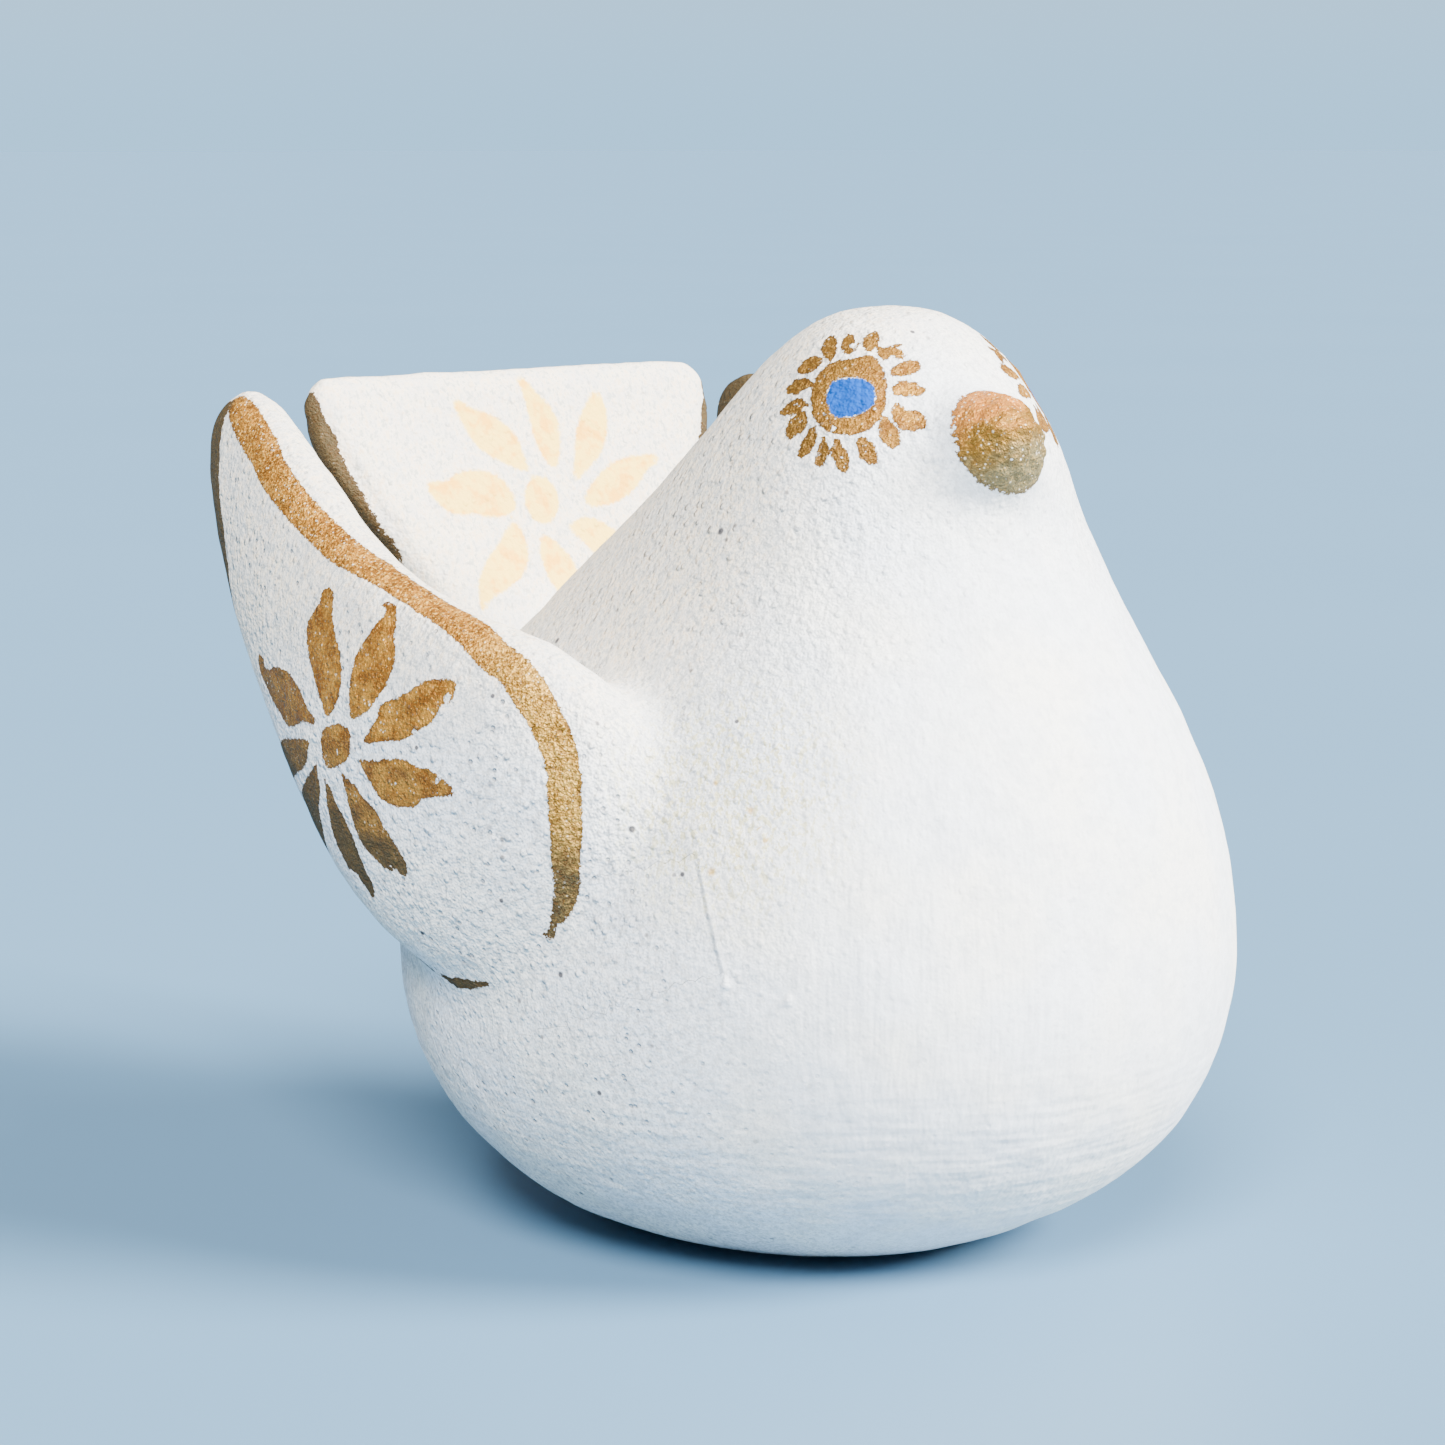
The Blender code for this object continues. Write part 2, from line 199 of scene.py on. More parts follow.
# Eye, in the plane that touches the head there: to the dove's front and up. Petals are strokes with half
# widths, and the gold and the blue both grow a little over their outlines
EYE_CENTRE = (-10.5, -17.4, 75.5)
LEFT_EYE_SHIFT = (0.1, -0.85, -0.5)
LEFT_EYE_EXTRA = (
    (6.9, -22.1, 74.3, 0.2), (6.9, -22.5, 73.7, 0.45), (6.85, -22.9, 73, 0.45), (6.8, -23.3, 72.4, 0.2),
)
EYE_OUTWARD = (-0.78, -0.40, 0.48)
EYE_REACH = 9.0
EYE_GOLD_GROWTH = 0.06
EYE_BLUE_GROWTH = 0.12
EYE_PETALS = (
    ((-2.6, 3.9, 0.18), (-2.9, 4.6, 0.58), (-3.2, 5.4, 0.7), (-3.2, 5.9, 0.47)),
    ((-1.1, 4.6, 0.31), (-1.4, 5.4, 0.59), (-1.6, 6.1, 0.41)),
    ((-0.6, 4.8, 0.16), (-0.6, 5.4, 0.16)),
    ((0.6, 5, 0.26), (0.5, 5.8, 0.63), (0.4, 6.5, 0.4), (0.4, 6.8, 0.21)),
    ((1.4, 5.1, 0.25), (1.9, 4.7, 0.45), (2.1, 4.2, 0.17)),
    ((2.1, 5.3, 0.22), (2.6, 5.1, 0.44), (3.2, 4.7, 0.28)),
    ((2.3, 5.6, 0.15), (2.8, 5.9, 0.15)),
    ((3.1, 2.6, 0.15), (3.4, 3.1, 0.49), (3.8, 3.4, 0.65), (4.2, 3.9, 0.64), (4.5, 4.1, 0.33)),
    ((3.7, 1.2, 0.26), (4.1, 1.4, 0.66), (4.6, 1.6, 0.71), (5.2, 1.6, 0.52), (5.6, 1.7, 0.26)),
    ((4, -0.2, 0.13), (4.4, -0.9, 0.53), (4.9, -1.6, 0.66), (5.5, -1.4, 0.95), (6, -1.5, 0.65),
     (6.3, -1.9, 0.18)),
    ((3.3, -1.6, 0.17), (3.6, -2.3, 0.5), (4, -3, 0.76), (4.4, -3.6, 0.51), (4.7, -3.8, 0.22)),
    ((1.8, -3.7, 0.17), (2.1, -4.2, 0.5), (2.6, -4.9, 0.67), (3, -5.4, 0.42)),
    ((-0.2, -4.1, 0.17), (0, -4.8, 0.47), (0.4, -5.5, 0.59), (0.7, -6.2, 0.42), (0.9, -6.6, 0.21)),
    ((-1.4, -3.9, 0.11), (-1.3, -4.6, 0.36), (-1.3, -5.3, 0.55), (-1.4, -6, 0.37)),
    ((-2.5, -3, 0.13), (-2.6, -3.6, 0.45), (-2.8, -4.4, 0.6), (-3, -5, 0.45), (-3.3, -5.4, 0.25)),
    ((-3.8, -1.5, 0.17), (-4, -2, 0.57), (-4.2, -2.6, 0.9), (-4.5, -3.1, 0.62), (-4.6, -3.6, 0.28)),
    ((-3.6, -0.7, 0.1), (-4.2, -0.6, 0.36), (-4.8, -0.8, 0.74), (-5.5, -1, 0.53), (-5.9, -1.2, 0.3)),
    ((-3.6, 1.2, 0.15), (-4.3, 1.3, 0.46), (-4.9, 1.2, 0.73), (-5.5, 1.1, 0.56), (-5.8, 1, 0.31)),
    ((-3.8, 3.6, 0.5), (-4.3, 3.4, 0.85), (-4.7, 3.2, 0.8), (-4.9, 3, 0.41)),
)
EYE_BARE_DOTS = (
    (-0.9, 5.2, 0.33), (-1.8, -1.7, 0.2), (-0.6, -3, 0.3), (-1.1, -2.4, 0.17), (-4.8, -0.6, 0.23),
    (0.5, -5.5, 0.16), (-1.6, -5.4, 0.15), (-1.4, -4.6, 0.15), (2.2, -4.4, 0.17), (2.4, -4.8, 0.13),
)
RING_OUTER = (
    (-3.4, -0.1), (-3.5, 1.2), (-3.2, 2.2), (-2.7, 3.1), (-1.8, 3.5), (-0.8, 3.7), (0.2, 4), (0.8, 4.3),
    (1.5, 4), (2.3, 2.8), (2.8, 1.6), (3.1, 0.4), (3.2, -0.7), (3, -1.7), (2.6, -2.5), (1.9, -3.1),
    (1, -3.5), (-0.1, -3.5), (-1.2, -3.3), (-2, -2.6), (-2.8, -1.7),
)
RING_INNER = (
    (-1.9, -0.1), (-2, 0.7), (-1.7, 1.4), (-1.1, 1.8), (-0.3, 1.9), (0.5, 1.9), (1.1, 1.5), (1.6, 1.4),
    (2.1, 0.8), (2.35, 0.1), (2.25, -0.6), (1.85, -1.15), (1.1, -1.65), (0.4, -1.9), (-0.4, -1.8),
    (-1.1, -1.45), (-1.6, -0.7),
)
PUPIL = (
    (-1.85, -0.1), (-1.85, 0.6), (-1.6, 1.3), (-1, 1.65), (-0.3, 1.75), (0.5, 1.75), (1.3, 1.5), (1.9, 0.95),
    (2.2, 0.2), (2.1, -0.4), (1.8, -0.95), (1.2, -1.45), (0.5, -1.8), (-0.4, -1.85), (-1.1, -1.5),
    (-1.6, -0.7),
)

# Beak: its axis from inside the head to its tip, how far its gold reaches, from which share of the axis on,
# and the middle and direction of its shading
BEAK_ROOT = (-1.0, -23.3, 70.8)
BEAK_TIP = (-2.7, -31.7, 73.8)
BEAK_REACH = 4.75
BEAK_GOLD_FROM = 0.30
BEAK_GOLD_LENGTH = 8.0
BEAK_MIDDLE = (-3.4, -28.4, 72.2)
BEAK_SHADE = (-0.23, 0.19, 1.0)
BEAK_BARE_DOTS = (
    (-0.6, -31.3, 72.8, 0.42), (0, -31.4, 72.4, 0.4), (-6.1, -25.7, 73.2, 0.24), (-6.3, -26, 72.4, 0.26),
    (-6.4, -26.2, 71.6, 0.3), (-6.4, -26.5, 70.6, 0.24), (-6, -26.7, 69.6, 0.22),
)

# The beak's form: crumbs with their lengths and heights, the crest and the hollow below it (where, how wide,
# how high) with the share of the axis where they start, and the flat place on top
BEAK_CRUMBS = ((2.6, 0.18), (1.0, 0.20), (0.5, 0.14))
BEAK_CRUMBS_FADE = 0.6
BEAK_CRUMBS_RISE = 12
BEAK_RIDGES = ((0.2, 0.5, 0.30), (-0.8, 0.6, -0.26))
BEAK_RIDGES_FROM = 0.62
BEAK_RIDGES_RISE = 3.0
BEAK_FLAT = (-0.2, -29.2, 75.0)
BEAK_FLAT_RADIUS = 1.9
BEAK_FLAT_DEPTH = 0.65

# Hand-formed surface: noise with its shift to the side and back, its length and its height, upright streaks
# and small lumps, strewn by chance
HAND_NOISE = ((0, 0, 13.0, 0.22), (40, 0, 4.5, 0.10), (0, 40, 2.2, 0.06))
STREAK_WIDTH = 1.5
STREAK_LENGTH = 14.0
STREAK_HEIGHT = 0.05
LUMPS = 90
LUMP_RADII = (0.35, 0.9)
LUMP_HEIGHTS = (0.06, 0.18)
SEED = 7

# Marks in the slip where the photograph shows them: places with radii, how far off the surface one may be, a
# stain, and the drip with its middle line
MARK_DEPTH = 2.5
DARK_SPECKS = (
    (-31.5, -14.4, 40.7, 0.36), (-30, -19.1, 37.4, 0.28), (-24.1, -19, 49.5, 0.24),
    (-35.1, -9.3, 28.1, 0.34), (-33.4, -12.3, 18.3, 0.32), (-22.85, 6.8, 53.55, 0.4),
    (-18.5, -10.25, 64.2, 0.42), (-38.1, -5.1, 34.1, 0.28), (-39.1, 4.7, 30, 0.3), (-41.4, 2.2, 46.5, 0.26),
    (-38.2, -4.4, 51.3, 0.26), (-3.1, -17.2, 80.6, 0.28),
)
OCHRE_SPECKS = (
    (-28.8, -21.4, 37.8, 0.55), (-25.8, -24.6, 40.5, 0.36), (-26.7, -19.3, 44.7, 0.34),
    (-25.9, -22.8, 42.8, 0.45),
)
STAIN_CENTRE = (-26.5, -21.0, 43.5)
STAIN_REACH = 13.0
STAIN_STRENGTH = 1.6
DRIP_TOP = (-29.0, -19.8, 39.4)
DRIP_ALONG = (-0.04, -0.38, -0.92)
DRIP_ACROSS = (0.49, -0.81, 0.32)
DRIP_LENGTH = 10.5
DRIP_HALF_WIDTH = 0.42
DRIP_OUT_FROM = 22.0

# Beads of slip and small craters in it: places with radii and heights, and how steep they are
BEADS = (
    (-29.4, -24, 28.9, 0.62, 0.42), (-26.4, -28.2, 27.9, 0.52, 0.36), (-33.6, -12.9, 32.8, 0.5, 0.36),
    (-31.6, -19.7, 24.7, 0.5, 0.4), (-31.6, -20.2, 24.4, 0.45, -0.3), (-29.5, -24.3, 28.3, 0.35, -0.24),
)
BEAD_STEEPNESS = 1.6

# Zones of the slip, each from one limit to another: breast to side, the tail, the neck, rougher higher up
BREAST_TO_SIDE = (-34, -14)
TAIL_ZONE_BACK = (24, 28)
TAIL_ZONE_OUT = (27, 26)
NECK_UP = (44, 58)
NECK_BACK = (-22, -10)
NECK_OUT = (24, 20)
ROUGH_UP = (12, 34)
PITTED_OUT = (30, 34)
PIT_CLOUD_WAVES = 0.14

# Patterns of the material: waves or cells per millimetre, and pits with their cells, radius and share
CLOUD_WAVES = 0.09
MOTTLE_WAVES = 0.55
GRIT_WAVES = 1.15
BRISTLE_WAVES = 2.1
PATCH_WAVES = 2.2
FLECK_WAVES = 3.3
FINE_PATCH_WAVES = 5.0
SPECK_CELLS = 0.36
MARK_CELLS = 1.05
GLINT_CELLS = 2.5
PIT_KINDS = ((1.9, 0.29, 0.50), (0.45, 0.16, 0.50))

# Relief of the material, and how far the brush edges wander
RAGGED_REACH = 0.68
GRIT_HEIGHT = 0.46
BUMP_HEIGHT = 0.17
BRUSH_HEIGHT = 0.10
HOLLOW_DEPTH = 0.18
SWEPT_HEIGHT = 0.22
DRIP_HEIGHT = 0.21
GOLD_THICKNESS = 0.035
BLUE_THICKNESS = 0.025
FLAKE_HEIGHT = 0.22

# Colours of the slip, some of them painted warm reflection and painted shade
WHITES = (0.8, 0.82, 0.84, 1), (0.88, 0.855, 0.79, 1)
# Painted warm reflection on the neck, with tan patches in it
NECK_REFLECTION_CREAM = (0.82, 0.68, 0.48, 1)
NECK_REFLECTION_TAN = (0.84, 0.66, 0.47, 1)
# Grey neck patches: mottling, partly painted shade of the grain
NECK_MOTTLE_SHADE_GREY = (0.42, 0.43, 0.37, 1)
CLOUD_GREY = (0.59, 0.61, 0.63, 1)
GRIT_GREY = (0.46, 0.46, 0.45, 1)
FINE_PATCH_GREY = (0.44, 0.44, 0.43, 1)
# Painted shade in the slip's pits
PIT_SHADE_GREY = (0.27, 0.28, 0.3, 1)
SPECK_BROWN = (0.18, 0.165, 0.16, 1)
STAIN_OLIVE = (0.58, 0.52, 0.29, 1)
SPECK_OCHRE = (0.5, 0.3, 0.07, 1)
SPECK_BLACK = (0.075, 0.07, 0.075, 1)

# Colours of the paint and of the light and shade painted on it; where there are two, the paint varies between
# them
COPPERS = (0.205, 0.074, 0.009, 1), (0.44, 0.2, 0.028, 1)
BRIGHT_COPPERS = (0.24, 0.088, 0.01, 1), (0.45, 0.19, 0.026, 1)
GOLDS = (0.24, 0.118, 0.014, 1), (0.46, 0.26, 0.048, 1)
# Painted shade on the wing's petals towards its back
REAR_SHADE_COPPER = (0.11, 0.044, 0.01, 1)
# Painted light and shade on the beak: lit copper above, golden in the middle, olive grey below
BEAK_LIT_GOLDS = (0.18, 0.092, 0.012, 1), (0.56, 0.2, 0.036, 1)
BEAK_SHADE_OLIVE = (0.17, 0.142, 0.068, 1)
# Painted shade round the eyes
EYE_SHADE_BROWN = (0.13, 0.062, 0.01, 1)
# Painted reflection and shade at the front stripe's lower end
LOW_REFLECTION_OLIVE = (0.14, 0.095, 0.034, 1)
# Painted shade and reflection on gold that faces down or away
PAINTED_SHADE_OLIVE = (0.043, 0.039, 0.022, 1)
# Dark streaks on the gold: partly the paint's own mottling, partly painted shade of its relief
STREAK_SHADE_BROWN = (0.08, 0.034, 0.008, 1)
# Painted highlights on the gold's streaks and flecks
SHINE_HIGHLIGHT_GOLD = (0.7, 0.41, 0.1, 1)
RIM_BROWN = (0.07, 0.034, 0.01, 1)
# Glints: painted highlights
GLINT_HIGHLIGHT_CREAM = (0.88, 0.78, 0.6, 1)
PETAL_TONES = (0.95, 0.64, 0.13, 1), (0.94, 0.47, 0.05, 1)
BLUE_TONES = (0, 0.038, 0.23, 1), (0, 0.078, 0.37, 1)

# Finish of the slip and the paint
GOLD_METAL = 0.40
GLINT_METAL = 0.1
SLIP_ROUGHNESS = 0.93
SPECULAR_LEVEL = 0.12

# Floor: its size in metres, its colours and how they vary
FLOOR_SIZE = 60.0
FLOOR_TINTS = (0.09, 0.189, 0.297, 1), (0.098, 0.199, 0.308, 1)
FLOOR_WAVES = 6.0
FLOOR_ROUGHNESS = 0.55

# Light: directions that it comes from, strengths and tints, and the pale haze at the horizon
KEY_FROM = (0.48, -0.70, 0.53)
KEY_STRENGTH = 19.0
KEY_TINT = (1.0, 0.99, 0.97)
FILL_FROM = (-0.54, -0.50, 0.72)
FILL_STRENGTH = 10.2
LIGHT_SPREAD = 26.0
WORLD_LIGHT = 0.28
HAZE_LIGHT = 1.50
HAZE_TOP = 0.16
SKY_TINT = (0.88, 0.94, 1, 1)
HAZE_TINT = (0.36, 0.68, 1, 1)


def spline(rows, share):
    """The row at this share of the way through a table, on a smooth curve through all of its rows."""
    place = min(max(share, 0.0), 1.0) * (len(rows) - 1)
    i = min(int(place), len(rows) - 2)
    t = place - i
    before, start = rows[max(i - 1, 0)], rows[i]
    end, after = rows[i + 1], rows[min(i + 2, len(rows) - 1)]
    return [
        0.5 * (2 * b + (c - a) * t + (2 * a - 5 * b + 4 * c - d) * t * t + (3 * b - a - 3 * c + d) * t ** 3)
        for a, b, c, d in zip(before, start, end, after)
    ]


def lengths(rows):
    """The length of each row."""
    return np.sqrt((rows * rows).sum(1))


def within(places, low, high):
    """The numbers of the places that lie in a box."""
    return np.nonzero(((places > low) & (places < high)).all(1))[0]


def segment_gap(places, start, end):
    """How far each place is from a straight piece, and which share of the way along it is nearest."""
    along = end - start
    share = np.clip((places - start) @ along / max(along @ along, TINY), 0, 1)
    gap = places - start - share[:, None] * along
    return lengths(gap), share


def stroke_distance(all_places, stroke):
    """How far each place is outside a brush stroke: points along its middle, each with a half width last."""
    steps = STROKE_STEPS * (len(stroke) - 1)
    line = [np.array(spline(stroke, i / steps)) for i in range(steps + 1)]
    middles = [point[:-1] for point in line]
    margin = max(point[-1] for point in line) + STROKE_MARGIN
    close = within(all_places, np.min(middles, 0) - margin, np.max(middles, 0) + margin)
    places = all_places[close]
    nearest = np.full(len(places), FAR)
    for start, end in zip(line, line[1:]):
        gap, share = segment_gap(places, start[:-1], end[:-1])
        width = start[-1] + share * (end[-1] - start[-1])
        nearest = np.minimum(nearest, gap - width)
    distance = np.full(len(all_places), FAR)
    distance[close] = nearest
    return distance


def outline_distance(all_places, outline):
    """How far each place is outside a closed outline; less than zero inside it."""
    corners = np.array(outline)
    close = within(all_places, corners.min(0) - STROKE_MARGIN, corners.max(0) + STROKE_MARGIN)
    places = all_places[close]
    nearest = np.full(len(places), FAR)
    inside = np.zeros(len(places), bool)
    for start, end in zip(corners, np.roll(corners, -1, 0)):
        nearest = np.minimum(nearest, segment_gap(places, start, end)[0])
        along = end - start
        rise = places[:, 1] - start[1]
        crosses = (rise >= 0) != (places[:, 1] - end[1] >= 0)
        if along[1]:
            inside ^= crosses & (places[:, 0] < start[0] + rise * along[0] / along[1])
    distance = np.full(len(all_places), FAR)
    distance[close] = np.where(inside, -nearest, nearest)
    return distance


def nearest_of(places, shapes, shape_distance):
    """How far each place is outside the nearest of several shapes, by the function for one of them."""
    nearest = np.full(len(places), FAR)
    for shape in shapes:
        nearest = np.minimum(nearest, shape_distance(places, shape))
    return nearest


def without_dots(places, distance, dots_left):
    """The paint's distance with small round dots left bare: each dot's place and radius."""
    for across, up, radius in dots_left:
        distance = np.maximum(distance, radius - np.hypot(places[:, 0] - across, places[:, 1] - up))
    return distance


def mesh_points(mesh):
    """The mesh's points in millimetres and its normals, one row each."""
    points = np.zeros(len(mesh.vertices) * 3)
    mesh.vertices.foreach_get("co", points)
    normals = np.zeros(len(mesh.vertices) * 3)
    mesh.vertex_normals.foreach_get("vector", normals)
    return points.reshape(-1, 3) / MM, normals.reshape(-1, 3)


def set_points(mesh, points):
    """Puts the mesh's points where the rows say, in millimetres."""
    mesh.vertices.foreach_set("co", (points * MM).ravel())
    mesh.update()


def smooth(values, start, end, low=0.0, high=1.0):
    """Values mapped smoothly from start..end to low..high."""
    share = np.clip((values - start) / (end - start), 0, 1)
    return low + (high - low) * share * share * (3 - 2 * share)


def neighbour_mean(mesh, values):
    """For each point of the mesh, the mean of the values at the points joined to it."""
    edges = np.zeros(len(mesh.edges) * 2, int)
    mesh.edges.foreach_get("vertices", edges)
    ends = edges.reshape(-1, 2)
    count = len(mesh.vertices)
    joined = np.bincount(ends[:, 0], minlength=count) + np.bincount(ends[:, 1], minlength=count)
    sums = np.zeros_like(values)
    for column in range(values.shape[1]):
        sums[:, column] = np.bincount(ends[:, 0], values[ends[:, 1], column], count)
        sums[:, column] += np.bincount(ends[:, 1], values[ends[:, 0], column], count)
    return sums / np.maximum(joined, 1)[:, None]


def soften(mesh, values, rounds):
    """Values at the mesh's points, evened out over their neighbours."""
    for _ in range(rounds):
        values = values + SOFTEN_SHARE * (neighbour_mean(mesh, values) - values)
    return values


def wing_places(points, side):
    """The points as if on the right wing: side is -1 for the right wing and 1 for the left."""
    places = points * (-side, 1, 1)
    return places + (0, -LEFT_WING_SET_BACK, LEFT_WING_DROP) if side > 0 else places


def stripe_distance(points, side):
    """How far each point is outside the upper border stripe of one wing."""
    places = wing_places(points, side)
    return np.minimum(stroke_distance(places, FRONT_STRIPE), stroke_distance(places, STRIPE_CURL))


def rear_stripe_distance(points, side):
    """How far each point is outside the rear border stripe of one wing."""
    return stroke_distance(wing_places(points, side), REAR_STRIPE)


def wing_distance(points, normals, side):
    """How far each point is outside the gold on one wing."""
    places = wing_places(points, side)
    outward = normals[:, 0] * side
    in_plane = np.stack([WING_CENTRE[0] - places[:, 1], places[:, 2] - WING_CENTRE[1]], 1)
    flower = without_dots(in_plane, nearest_of(in_plane, WING_PETALS, outline_distance), WING_BARE_DOTS)
    not_face = np.maximum((FLOWER_FACES - outward) * TURN_LENGTH, places[:, 0] + WING_INNER_SIDE)
    stripe = np.minimum(stripe_distance(points, side), rear_stripe_distance(points, side))
    turned_in = (STRIPE_FACES - outward) * TURN_LENGTH
    if side > 0:
        turned_in = np.where(places[:, 2] > TIP_HEIGHT, -FAR, turned_in)
    painted = np.minimum(np.maximum(flower, not_face), np.maximum(stripe, turned_in))
    not_wing = np.maximum(places[:, 0] + WING_OUT_FROM, WING_BACK_FROM - places[:, 1])
    return np.maximum(painted, not_wing)


def tail_distance(points, normals):
    """How far each point is outside the pale flower on the tail's front."""
    away = points - TAIL_CENTRE
    in_plane = np.stack([away[:, 0], away @ TAIL_UP], 1)
    flower = nearest_of(in_plane, TAIL_PETALS, stroke_distance)
    turned_away = (normals[:, 1] + TAIL_FRONT_FACES) * TURN_LENGTH
    return np.maximum(np.maximum(flower, turned_away), TAIL_FRONT_FROM - points[:, 1])


def tail_side_gap(points):
    """How far each point of the tail is from the tail's nearer side edge."""
    out, back, up = np.abs(points[:, 0]), points[:, 1], points[:, 2]
    on_tail = (back > TAIL_SIDES_FROM) & (up > TAIL_FOOT) & (out < TAIL_HALF_WIDTH)
    levels = np.arange(TAIL_FOOT, TAIL_TOP, TAIL_LEVEL_STEP)
    reach = []
    for level in levels:
        near = on_tail & (np.abs(up - level) < TAIL_LEVEL_STEP)
        reach.append(out[near].max() if near.any() else FAR)
    return np.where(on_tail, np.interp(up, levels, reach) - out, FAR)


def tail_edge_distance(points):
    """How far each point is outside the gold band round the tail's two side edges."""
    band = tail_side_gap(points) - np.interp(points[:, 2], TAIL_BAND_HEIGHTS, TAIL_BAND_WIDTHS)
    return np.maximum(band, points[:, 2] - TAIL_BAND_HEIGHTS[-1])


def tail_side_fullness(points, normals):
    """How far the tail's rounded sides stand out below its top corners, in millimetres."""
    fullness = np.interp(points[:, 2], TAIL_SIDE_HEIGHTS, TAIL_SIDE_FULLNESS)
    by_edge = np.clip((TAIL_SIDE_REACH - tail_side_gap(points)) / TAIL_SIDE_FADE, 0, 1)
    not_front = np.clip((normals[:, 1] + TAIL_SIDE_FACES) / TAIL_SIDE_TURN, 0, 1)
    return fullness * by_edge * not_front


def eye_distances(points):
    """How far each point is outside the gold, and outside the blue, of the eyes."""
    outward = Vector(EYE_OUTWARD).normalized()
    forward = Vector((0, 0, 1)).cross(outward).normalized()
    upward = outward.cross(forward)
    nearest = np.full((2, len(points)), FAR)
    for side in (-1, 1):
        away = points * (-side, 1, 1) - EYE_CENTRE
        if side > 0:
            away = away - LEFT_EYE_SHIFT
        in_plane = np.stack([away @ forward, away @ upward], 1)
        ring = np.maximum(outline_distance(in_plane, RING_OUTER), -outline_distance(in_plane, RING_INNER))
        gold = np.minimum(nearest_of(in_plane, EYE_PETALS, stroke_distance), ring)
        gold = without_dots(in_plane, gold, EYE_BARE_DOTS) - EYE_GOLD_GROWTH
        blue = outline_distance(in_plane, PUPIL) - EYE_BLUE_GROWTH
        far = lengths(away) - EYE_REACH
        nearest = np.minimum(nearest, np.maximum([gold, blue], far))
    return nearest


def beak_places(points):
    """Where each point is by the beak: share of the way along it, distance from its axis, height over it."""
    root, tip = np.array(BEAK_ROOT), np.array(BEAK_TIP)
    length = np.linalg.norm(tip - root)
    axis = (tip - root) / length
    away = points - root
    along = away @ axis
    off = away - along[:, None] * axis
    return along / length, lengths(off), off[:, 2]


def beak_distance(points):
    """How far each point is outside the beak's gold."""
    share, radius, _ = beak_places(points)
    gold = np.maximum(radius - BEAK_REACH, (BEAK_GOLD_FROM - share) * BEAK_GOLD_LENGTH)
    for *middle, bare in BEAK_BARE_DOTS:
        gold = np.maximum(gold, bare - lengths(points - middle))
    return gold


def shaded_gold_distance(points):
    """How far each point is outside the gold darkened by painted shade: rear stripes, tail band and the left
    wing's tip.
    """
    return np.minimum.reduce([
        tail_edge_distance(points),
        stroke_distance(points, LEFT_TIP),
        rear_stripe_distance(points, -1),
        rear_stripe_distance(points, 1),
    ])


def gold_distance(points, normals):
    """How far each point is outside all the strong gold paint."""
    return np.minimum.reduce([
        wing_distance(points, normals, -1),
        wing_distance(points, normals, 1),
        tail_edge_distance(points),
        stroke_distance(points, LEFT_TIP),
        beak_distance(points),
        stroke_distance(points, LEFT_EYE_EXTRA),
        eye_distances(points)[0],
    ])


def keep(mesh, name, values):
    """Stores one number up to FAR, or an offset, for each point, which the material reads by name."""
    kind, field = "FLOAT_VECTOR", "vector"
    if values.ndim == 1:
        kind, field = "FLOAT", "value"
        values = np.clip(values, -FAR, FAR)
    attribute = mesh.attributes.new(name, kind, "POINT")
    attribute.data.foreach_set(field, values.astype(np.float32).ravel())


def skin_mesh(node):
    """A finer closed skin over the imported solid, with its facets softened and its shape kept."""
    shell = bmesh.new()
    shell.from_mesh(node.data)
    bmesh.ops.remove_doubles(shell, verts=shell.verts, dist=WELD_REACH * MM)
    mesh = bpy.data.meshes.new("skin_source")
    shell.to_mesh(mesh)
    shell.free()
    source = bpy.data.objects.new("skin_source", mesh)
    bpy.context.scene.collection.objects.link(source)
    remesh = source.modifiers.new("cells", "REMESH")
    remesh.mode = "VOXEL"
    remesh.voxel_size = SKIN_CELL * MM
    graph = bpy.context.evaluated_depsgraph_get()
    skin = bpy.data.meshes.new_from_object(source.evaluated_get(graph))
    bpy.data.objects.remove(source)
    points, _ = mesh_points(skin)
    shape = soften(skin, points, SOFTEN_ROUNDS)
    for _ in range(SHAPE_KEPT_ROUNDS):
        shape = shape + soften(skin, points - shape, SOFTEN_ROUNDS)
    set_points(skin, shape)
    return skin


def cut_finer(mesh):
    """Cuts the faces at painted edges, eyes, beak and beads into smaller ones and softens the cuts."""
    points, normals = mesh_points(mesh)
    near = np.abs(gold_distance(points, normals)) < FINE_REACH
    eyes = np.minimum(*[lengths(points * (-s, 1, 1) - EYE_CENTRE) for s in (-1, 1)])
    finest = (eyes < EYE_FINE_REACH) | (beak_distance(points) < BEAK_FINE_REACH)
    for *middle, radius, _ in BEADS:
        finest |= lengths(points - middle) < radius + BEAD_FINE_MARGIN
    shell = bmesh.new()
    shell.from_mesh(mesh)
    for cuts, wanted in ((FINE_CUTS, near & ~finest), (FINE_CUTS + 1, finest)):
        shell.verts.ensure_lookup_table()
        edges = {e for i in np.nonzero(wanted)[0] for f in shell.verts[i].link_faces for e in f.edges}
        bmesh.ops.subdivide_edges(shell, edges=list(edges), cuts=cuts, use_grid_fill=True)
    bmesh.ops.triangulate(shell, faces=shell.faces)
    shell.to_mesh(mesh)
    shell.free()
    points, _ = mesh_points(mesh)
    set_points(mesh, soften(mesh, points, FINE_SOFTEN_ROUNDS))


